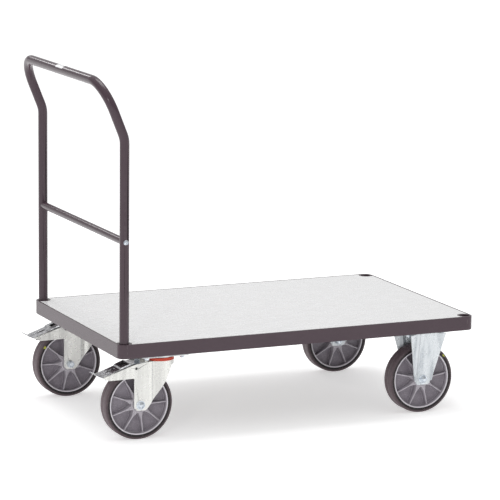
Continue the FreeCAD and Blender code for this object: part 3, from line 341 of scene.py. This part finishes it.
def rim_plastic():
    """Moulded grey wheel centre: the raised rib crests are painted paler and the sharp edges get
    painted highlights; the lip ring is painted paler too.
    """
    plastic = Surface("rim_plastic")
    cloud = plastic.noise(18 * MM, 4.0)
    colour = plastic.blend(cloud, linear(116, 109, 118), linear(140, 133, 142))
    speck = plastic.spread(plastic.noise(2.2 * MM, 4.0), 0.54, 0.72, 0.0, 0.4)
    pale = linear(222, 218, 224)
    proud = plastic.absolute(plastic.part("Y"))
    # Painted highlight: faces standing proud of the middle plane, the rib crests, turn paler
    colour = plastic.blend(plastic.spread(proud, 7 * MM, 15 * MM, 0.0, 0.3), colour, pale)
    colour = plastic.blend(speck, colour, linear(186, 180, 188))
    # Painted highlight: sharp rib and lip edges lightened
    colour = plastic.blend(plastic.times(plastic.edges(2.0 * MM, 0.85), 0.8), colour, pale)
    # A paler ring over the lip
    lip_at = RIM_INNER + RIM_FLARE
    lip = plastic.spread(radial(plastic), lip_at - 0.6 * MM, lip_at, 0.0, 0.85)
    colour = plastic.blend(lip, colour, pale)
    rough = plastic.swing(plastic.noise(12 * MM, 4.0), 0.38, 0.5)
    plastic.relief([(plastic.noise(PITTING, 2.0), PITTING_DEPTH)])
    return plastic.finish(colour, rough)


def foil():
    """Silvery label foil, faintly crinkled."""
    label = Surface("label_foil", metallic=0.25)
    crinkle = label.noise(7 * MM, 4.0, None, 0.7)
    colour = label.blend(crinkle, linear(205, 206, 208), linear(240, 240, 241))
    label.relief([(crinkle, 0.1 * MM)])
    return label.finish(colour, label.swing(crinkle, 0.25, 0.4))


# slot: name, darkest, palest and edge colours in screen values, and roughness
MOULDED = {
    "seal_red": ("seal_plastic", (178, 48, 28), (198, 62, 36), (222, 110, 80), 0.4),
    "shoe_rubber": ("black_rubber", (26, 25, 26), (36, 34, 35), (70, 68, 68), 0.6),
    "black_steel": ("black_steel", (16, 16, 17), (26, 26, 27), (70, 70, 72), 0.4),
}
# slot: name, dullest and brightest colours, roughness, and how the lines are drawn out
PLATED = {
    "pedal_steel": ("pedal_steel", (150, 151, 155), (222, 223, 226), 0.16, (0.1, 1.0, 1.0)),
    "zinc_fixings": ("zinc_plate", (160, 170, 182), (214, 220, 226), 0.28, (1.0, 1.0, 0.2)),
}


def make_materials():
    """The finish of each of the record's material slots."""
    finishes = {
        "frame_paint": powder_coat(),
        "board_laminate": laminate(),
        "label_foil": foil(),
        "rim_grey": rim_plastic(),
        "tyre_grey": tyre_rubber(),
        "galvanised": galvanised("galvanised", *ZINC_TONES),
    }
    for slot, (name, dark, light, edge, roughness) in MOULDED.items():
        finishes[slot] = moulded(name, linear(*dark), linear(*light), linear(*edge), roughness)
    for slot, (name, dull, bright, roughness, along) in PLATED.items():
        finishes[slot] = plated(name, linear(*dull), linear(*bright), roughness, along)
    return finishes


# ---------------------------------------------------------------- CAD nodes


SMOOTH_ANGLE = math.radians(28)
WELD = 0.01 * MM


def smoothing_group():
    """A node group that joins the CAD faces along their seams and keeps only real edges sharp."""
    group = bpy.data.node_groups.new("join_and_smooth", "GeometryNodeTree")
    for way in ("INPUT", "OUTPUT"):
        group.interface.new_socket("Geometry", in_out=way, socket_type="NodeSocketGeometry")
    nodes, links = group.nodes, group.links
    start = nodes.new("NodeGroupInput")
    forget = nodes.new("GeometryNodeRemoveAttribute")
    forget.inputs["Name"].default_value = "custom_normal"
    weld = nodes.new("GeometryNodeMergeByDistance")
    weld.inputs["Distance"].default_value = WELD
    angle = nodes.new("GeometryNodeInputMeshEdgeAngle")
    gentle = nodes.new("FunctionNodeCompare")
    gentle.operation = "LESS_THAN"
    gentle.inputs["B"].default_value = SMOOTH_ANGLE
    faces = nodes.new("GeometryNodeSetShadeSmooth")
    faces.inputs["Shade Smooth"].default_value = True
    edges = nodes.new("GeometryNodeSetShadeSmooth")
    edges.domain = "EDGE"
    end = nodes.new("NodeGroupOutput")
    for source, target in (
        (start.outputs[0], forget.inputs["Geometry"]),
        (forget.outputs[0], weld.inputs["Geometry"]),
        (weld.outputs[0], faces.inputs["Geometry"]),
        (faces.outputs[0], edges.inputs["Geometry"]),
        (angle.outputs["Unsigned Angle"], gentle.inputs["A"]),
        (gentle.outputs[0], edges.inputs["Shade Smooth"]),
        (edges.outputs[0], end.inputs[0]),
    ):
        links.new(source, target)
    return group


# slot: how wide its sharp edges are rounded
BEVELS = {
    "frame_paint": 1.2 * MM,
    "board_laminate": 0.5 * MM,
    "galvanised": 0.7 * MM,
    "pedal_steel": 0.5 * MM,
    "zinc_fixings": 0.5 * MM,
    "shoe_rubber": 0.6 * MM,
}
BEVEL_SEGMENTS = 2
BEVEL_ANGLE = math.radians(40)


def soften(piece, width):
    """Round a piece's sharp edges a little, as rolled, pressed and painted ones are."""
    bevel = piece.modifiers.new("edge_rounding", "BEVEL")
    bevel.width = width
    bevel.segments = BEVEL_SEGMENTS
    bevel.limit_method = "ANGLE"
    bevel.angle_limit = BEVEL_ANGLE
    bevel.use_clamp_overlap = True
    bevel.harden_normals = True


# piece: its wheel, where its upright crease lies from the axle, and its darkest and palest zinc
CREASES = {
    "fixed_bracket": ("tyre_front", -19 * MM, linear(170, 176, 181), linear(210, 214, 217)),
    "swivel_fork": ("tyre_rear", 36 * MM, linear(202, 202, 199), linear(230, 230, 226)),
}


def creased_sheets():
    """Forks and brackets have a zinc sheet of their own, creased beside their wheel's axle, with a
    band of painted shade at the crease.
    """
    own = {}
    for kind, (tyre, offset, dull, bright) in CREASES.items():
        for side in ("left", "right"):
            node = f"{kind}_{side}"
            origin = frame["nodes"][node].matrix_world.translation.x
            crease = middle(f"{tyre}_{side}").x + offset - origin
            own[node] = galvanised(f"zinc_{node}", dull, bright, [crease])
    return own


def dress_nodes(materials):
    """Give every CAD node its finish and smooth shading, and round the edges of those whose slot
    has a bevel width.
    """
    group = smoothing_group()
    own = creased_sheets()
    for node, piece in frame["nodes"].items():
        piece.data.materials.clear()
        piece.data.materials.append(own.get(node, materials[SLOTS[node]]))
        piece.modifiers.new("joined", "NODES").node_group = group
        if SLOTS[node] in BEVELS:
            soften(piece, BEVELS[SLOTS[node]])


# ---------------------------------------------------------------- pieces made here


def add_piece(name, verts, faces, centre, body, material):
    """A smooth mesh piece whose points are given from `centre`, riding on a body."""
    mesh = bpy.data.meshes.new(name)
    mesh.from_pydata(verts, [], faces)
    mesh.materials.append(material)
    mesh.shade_smooth()
    mesh.set_sharp_from_angle(angle=SMOOTH_ANGLE)
    piece = bpy.data.objects.new(name, mesh)
    piece.location = centre
    bpy.context.scene.collection.objects.link(piece)
    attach(piece, body)
    return piece


def ring_faces(rows, count, first=0, closed=True):
    """Quads between rings of `count` points each, and from the last ring back to the first."""
    faces = []
    for row in range(rows if closed else rows - 1):
        low = first + row * count
        high = first + (row + 1) % rows * count
        for i in range(count):
            after = (i + 1) % count
            faces.append((low + i, low + after, high + after, high + i))
    return faces


def turned_points(profile, angles):
    """Rings about Y: `profile` gives (radius, along) for an angle."""
    rings = [profile(angle) for angle in angles]
    rows = len(rings[0])
    return [
        (rings[i][row][0] * math.cos(angle), rings[i][row][1], rings[i][row][0] * math.sin(angle))
        for row in range(rows)
        for i, angle in enumerate(angles)
    ]


def even_angles(count):
    return [2 * math.pi * i / count for i in range(count)]


def middle(node):
    low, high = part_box(node)
    return (Vector(low) + Vector(high)) / 2


def add_wheel_piece(name, like, wheel, verts, faces, material):
    """A piece about a wheel's middle, riding with the CAD node `like` of that wheel."""
    centre, body = middle(f"tyre_{wheel}"), BODY_OF[f"{like}_{wheel}"]
    return add_piece(f"{name}_{wheel}", verts, faces, centre, body, material)


# wheel centre: radii from the axle and heights from its middle plane
RIBS = 9
HUB = 24 * MM
HUB_HALF = 25 * MM
BORE = 13 * MM
SEAT = 17.5 * MM
SEAT_DEPTH = 11 * MM
WEB_HALF = 3 * MM
RIM_INNER = 81.5 * MM
RIM_FLARE = 2 * MM
RIM_OUTER = 87 * MM
RIM_HALF = 21.5 * MM
RIB_AT_HUB = 23 * MM
RIB_AT_RIM = 15 * MM
RIB_HALF = 1.3 * MM
RIB_FOOT = 2.5 * MM
RIB_FLARE = 4.5 * MM
WEB_ROWS = 18
ROW_CROWDING = 1.15
HUB_FILLET = 2.5 * MM
RIM_FILLET = 2 * MM
RIM_FILLET_FROM = 0.85
FOOT_AT_HUB = 3 * MM
RIB_STEPS = 28
RIB_CROWDING = 2.2
RIM_REST = {"rear_right": 0, "rear_left": 20, "front_right": 6.5, "front_left": 15}


def smooth_step(level):
    level = min(max(level, 0.0), 1.0)
    return level * level * (3 - 2 * level)


def rib_height(radius, angle, rest):
    """How far the moulded face stands from the wheel's middle plane, with ribs and fillets."""
    pitch = 2 * math.pi / RIBS
    off = (angle - rest + pitch / 2) % pitch - pitch / 2
    beside = abs(off) * radius
    outward = (radius - HUB) / (RIM_INNER - HUB)
    crest = RIB_AT_HUB + (RIB_AT_RIM - RIB_AT_HUB) * outward
    web = WEB_HALF + HUB_FILLET * (1 - smooth_step(outward * 3))
    web += RIM_FILLET * smooth_step((outward - RIM_FILLET_FROM) / (1 - RIM_FILLET_FROM))
    near_hub = 1 - smooth_step(outward * 2.6)
    half = RIB_HALF + RIB_FLARE * near_hub**1.5
    foot = RIB_FOOT + FOOT_AT_HUB * near_hub
    rise = 1 - smooth_step((beside - half) / foot)
    return web + (crest - web) * rise**1.6


def rim_side(angle, rest):
    """One face of the moulded wheel centre, from its bore out to its rim, at one angle."""
    floor = HUB_HALF - SEAT_DEPTH
    points = [(BORE, floor), (SEAT, floor), (SEAT, HUB_HALF - 0.6 * MM)]
    points += [(SEAT + 0.6 * MM, HUB_HALF), (HUB - 1 * MM, HUB_HALF), (HUB, HUB_HALF - 1 * MM)]
    last = WEB_ROWS - 1
    for step in range(WEB_ROWS):
        radius = HUB + (RIM_INNER - HUB) * (step / last) ** ROW_CROWDING
        height = rib_height(radius, angle, rest)
        if step == last:
            radius += RIM_FLARE * (height - WEB_HALF) / (RIM_HALF - WEB_HALF)
        points.append((radius, height))
    lip = RIM_INNER + RIM_FLARE
    points += [(lip - 0.3 * MM, RIM_HALF - 1.2 * MM), (lip + 0.3 * MM, RIM_HALF - 0.3 * MM)]
    points += [(lip + 1.1 * MM, RIM_HALF), (RIM_OUTER - 0.8 * MM, RIM_HALF)]
    points += [(RIM_OUTER, RIM_HALF - 0.8 * MM)]
    return points


def rim_angles(rest):
    """Angles round the wheel, closer together where a rib rises."""
    pitch = 2 * math.pi / RIBS
    angles = []
    for rib in range(RIBS):
        for i in range(RIB_STEPS):
            share = 2 * i / RIB_STEPS - 1
            off = math.copysign(abs(share) ** RIB_CROWDING, share) * pitch / 2
            angles.append(rest + rib * pitch + off)
    return angles


def moulded_rim(wheel, material):
    rest = math.radians(RIM_REST[wheel])
    angles = rim_angles(rest)

    def section(angle):
        side = rim_side(angle, rest)
        return side + [(radius, -along) for radius, along in reversed(side)]

    verts = turned_points(section, angles)
    faces = ring_faces(len(section(rest)), len(angles))
    piece = add_wheel_piece("wheel_centre", "rim", wheel, verts, faces, material)
    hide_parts(f"rim_{wheel}")


# tyre
TREAD = 100 * MM
TYRE_HALF = 22.5 * MM
SHOULDER = 6 * MM
SHOULDER_STEPS = 8
# A shallow groove round the wall: the radii of its two sides' tops and feet, and its depth
GROOVE = (90.5 * MM, 90.9 * MM, 91.4 * MM, 91.8 * MM)
GROOVE_DEPTH = 0.4 * MM
TYRE_POINTS = 128


def tyre_side():
    """Half of the tyre's section, from the rim out to the middle of the tread."""
    wall = TYRE_HALF
    points = [(RIM_OUTER, wall - 1.4 * MM), (RIM_OUTER + 0.5 * MM, wall - 0.5 * MM)]
    points.append((RIM_OUTER + 1.6 * MM, wall))
    depths = (0.0, GROOVE_DEPTH, GROOVE_DEPTH, 0.0)
    points += [(radius, wall - depth) for radius, depth in zip(GROOVE, depths)]
    for step in range(SHOULDER_STEPS + 1):
        turn = math.pi / 2 * step / SHOULDER_STEPS
        radius = TREAD - SHOULDER + SHOULDER * math.sin(turn)
        points.append((radius, wall - SHOULDER + SHOULDER * math.cos(turn)))
    points += [(TREAD, 9 * MM), (TREAD, 0.5 * MM), (TREAD - 0.15 * MM, 0.2 * MM)]
    return points


def solid_tyre(wheel, material):
    half = tyre_side()
    section = half + [(radius, -along) for radius, along in reversed(half)]
    angles = even_angles(TYRE_POINTS)
    verts = turned_points(lambda angle: section, angles)
    faces = ring_faces(len(section), len(angles))
    piece = add_wheel_piece("solid_tyre", "tyre", wheel, verts, faces, material)
    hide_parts(f"tyre_{wheel}")


# bearings
SEAL_OUTER = 15.2 * MM
SEAL_INNER = 10.2 * MM
AXLE_RADIUS = 7.5 * MM
RACE_ROUNDING = 0.5 * MM
BEARING_POINTS = 64


def ball_bearings(wheel, steel, rubber):
    """Both bearings of a wheel: steel races, and rubber seals set a little into them."""
    outer, inner = SEAT, AXLE_RADIUS
    far, near = HUB_HALF - SEAT_DEPTH, HUB_HALF
    soft = RACE_ROUNDING
    outer_race = [(outer, far), (outer, near - soft), (outer - soft, near)]
    outer_race += [(SEAL_OUTER, near), (SEAL_OUTER, far)]
    inner_race = [(SEAL_INNER, far), (SEAL_INNER, near), (inner + soft, near)]
    inner_race += [(inner, near - soft), (inner, far)]
    races = (outer_race, inner_race)
    seal = [(SEAL_OUTER, far + soft), (SEAL_OUTER, near - soft)]
    seal += [(SEAL_INNER, near - soft), (SEAL_INNER, far + soft)]
    angles = even_angles(BEARING_POINTS)
    for name, sections, slot, material in (
        ("bearing_races", races, "zinc_fixings", steel),
        ("bearing_seals", (seal,), "shoe_rubber", rubber),
    ):
        verts, faces = [], []
        for section in sections:
            for side in (1, -1):
                flipped = [(radius, side * along) for radius, along in section]
                if side < 0:
                    flipped.reverse()
                faces += ring_faces(len(section), len(angles), len(verts))
                verts += turned_points(lambda angle: flipped, angles)
        piece = add_wheel_piece(name, "bearings", wheel, verts, faces, material)
        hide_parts(f"bearings_{wheel}")


# wheel: angle about the axle, distance from it, and the half sizes along and across the tyre's wall
PAINT_DOTS = {
    "front_right": (42, 94.5 * MM, 5 * MM, 2.4 * MM),
    "rear_left": (145, 91.5 * MM, 4 * MM, 4 * MM),
}
DOT_POINTS = 24
DOT_WAVE = 0.12
DOT_THICKNESS = 0.15 * MM
DOT_CROWN = 1.3


def wall_at(radius):
    """How far the tyre's side wall stands from its middle plane at a distance from the axle."""
    over = max(0.0, radius - (TREAD - SHOULDER))
    return TYRE_HALF - SHOULDER + math.sqrt(SHOULDER**2 - over**2)


def paint_dots():
    """A dab of marking paint on the outer wall of two tyres, with a wavy edge."""
    dark, light, edge = linear(150, 148, 44), linear(186, 190, 62), linear(206, 208, 110)
    paint = moulded("marking_paint", dark, light, edge, 0.5)
    for wheel, (angle, away, half_along, half_across) in PAINT_DOTS.items():
        verts = []
        for share in (0.5, 1.0):
            for i in range(DOT_POINTS):
                around = 2 * math.pi * i / DOT_POINTS
                wobble = share * (1 + DOT_WAVE * math.sin(3 * around))
                radius = away + half_across * wobble * math.sin(around)
                turn = math.radians(angle) + half_along / away * wobble * math.cos(around)
                proud = DOT_THICKNESS * (DOT_CROWN - share)
                along = -wall_at(radius) - proud
                verts.append((radius * math.cos(turn), along, radius * math.sin(turn)))
        faces = [tuple(range(DOT_POINTS))] + ring_faces(2, DOT_POINTS, closed=False)
        add_wheel_piece("paint_dot", "tyre", wheel, verts, faces, paint)


def dress_wheels(materials):
    for wheel in WHEELS:
        moulded_rim(wheel, materials["rim_grey"])
        solid_tyre(wheel, materials["tyre_grey"])
        ball_bearings(wheel, materials["zinc_fixings"], materials["shoe_rubber"])
    paint_dots()


# ---------------------------------------------------------------- studio

# Camera: where the eye stands and where it looks, in metres and degrees
CAMERA_AT = Vector((-3.3938, -7.6354, 2.0082))
CAMERA_YAW = math.radians(24.084)
CAMERA_PITCH = math.radians(10.535)
CAMERA_ROLL = math.radians(0.602)
CAMERA_LENS = 210.6
SENSOR_WIDTH = 36
CLIP_END = 100
FLOOR_REACH = 40
FLOOR_GLOW = 0.47
# The sky's brightest direction, and its strength there and at right angles to it
SKY_AIM = (-0.08, 0.12, 0.99)
SKY_TOP = 0.95
SKY_SIDE = 0.32
# The white wall round the horizon: the sines of the heights where it starts and ends to fade
WALL_FULL = 0.05
WALL_GONE = 0.13
# Area lights: name, place, what it aims at, size and power in watts
SOFTBOXES = (
    ("overhead", (0, 0.3, 3.4), (0, 0, 0.2), (2.0, 1.6), 40),
    ("front_left", (-3.6, -4.6, 2.6), (0, 0, 0.3), (0.5, 0.9), 30),
    ("back_strip", (-1.15, 5.0, 3.4), (-0.5, 0, 0.8), (0.7, 1.4), 16),
)


def add_camera():
    forward = Vector((
        math.sin(CAMERA_YAW) * math.cos(CAMERA_PITCH),
        math.cos(CAMERA_YAW) * math.cos(CAMERA_PITCH),
        -math.sin(CAMERA_PITCH),
    ))
    level = Vector((math.cos(CAMERA_YAW), -math.sin(CAMERA_YAW), 0))
    upright = level.cross(forward)
    right = level * math.cos(CAMERA_ROLL) + upright * math.sin(CAMERA_ROLL)
    up = upright * math.cos(CAMERA_ROLL) - level * math.sin(CAMERA_ROLL)
    data = bpy.data.cameras.new("camera")
    data.lens = CAMERA_LENS
    data.sensor_width = SENSOR_WIDTH
    data.clip_end = CLIP_END
    camera = bpy.data.objects.new("camera", data)
    turn = Matrix((right, up, -forward)).transposed()
    camera.matrix_world = Matrix.Translation(CAMERA_AT) @ turn.to_4x4()
    bpy.context.scene.collection.objects.link(camera)
    bpy.context.scene.camera = camera


def add_floor():
    """A white sweep that is lit a little from below, as on a photographer's light table."""
    mesh = bpy.data.meshes.new("floor")
    around = ((-1, -1), (1, -1), (1, 1), (-1, 1))
    corners = [(x * FLOOR_REACH, y * FLOOR_REACH, 0) for x, y in around]
    mesh.from_pydata(corners, [], [(0, 1, 2, 3)])
    white = Surface("floor_white", roughness=0.9, emission_strength=FLOOR_GLOW)
    white.shader.inputs["Emission Color"].default_value = (1, 1, 1, 1)
    paper = white.blend(white.noise(0.4, 3.0), (0.86, 0.86, 0.86), (0.88, 0.88, 0.88))
    mesh.materials.append(white.finish(paper))
    floor = bpy.data.objects.new("floor", mesh)
    bpy.context.scene.collection.objects.link(floor)


def add_sky():
    """Soft light from all round, strongest from above, over a white wall along the horizon."""
    world = bpy.data.worlds.new("studio")
    bpy.context.scene.world = world
    world.use_nodes = True
    tree = world.node_tree

    def ramp(source, *levels):
        """`source` between the first two levels, taken to the last two."""
        made = tree.nodes.new("ShaderNodeMapRange")
        for key, level in zip(("From Min", "From Max", "To Min", "To Max"), levels):
            made.inputs[key].default_value = level
        tree.links.new(source, made.inputs["Value"])
        return made.outputs["Result"]

    way = tree.nodes.new("ShaderNodeTexCoord").outputs["Generated"]
    aim = tree.nodes.new("ShaderNodeVectorMath")
    aim.operation = "DOT_PRODUCT"
    aim.inputs[1].default_value = SKY_AIM
    tree.links.new(way, aim.inputs[0])
    height = tree.nodes.new("ShaderNodeSeparateXYZ")
    tree.links.new(way, height.inputs[0])
    brighter = tree.nodes.new("ShaderNodeMath")
    brighter.operation = "MAXIMUM"
    sky = ramp(aim.outputs["Value"], 0.0, 1.0, SKY_SIDE, SKY_TOP)
    wall = ramp(height.outputs["Z"], WALL_FULL, WALL_GONE, 1.0, 0.0)
    tree.links.new(sky, brighter.inputs[0])
    tree.links.new(wall, brighter.inputs[1])
    background = tree.nodes["Background"]
    tree.links.new(brighter.outputs[0], background.inputs["Strength"])
    background.inputs["Color"].default_value = (1, 1, 1, 1)


def add_softbox(name, at, target, size, power):
    data = bpy.data.lights.new(name, "AREA")
    data.shape = "RECTANGLE"
    data.size, data.size_y = size
    data.energy = power
    lamp = bpy.data.objects.new(name, data)
    lamp.location = at
    lamp.rotation_euler = (Vector(target) - Vector(at)).to_track_quat("-Z", "Y").to_euler()
    bpy.context.scene.collection.objects.link(lamp)


def build_studio():
    add_floor()
    add_sky()
    for softbox in SOFTBOXES:
        add_softbox(*softbox)
    add_camera()
    bpy.context.scene.view_settings.view_transform = "Standard"


materials = make_materials()
dress_nodes(materials)
dress_wheels(materials)
build_studio()
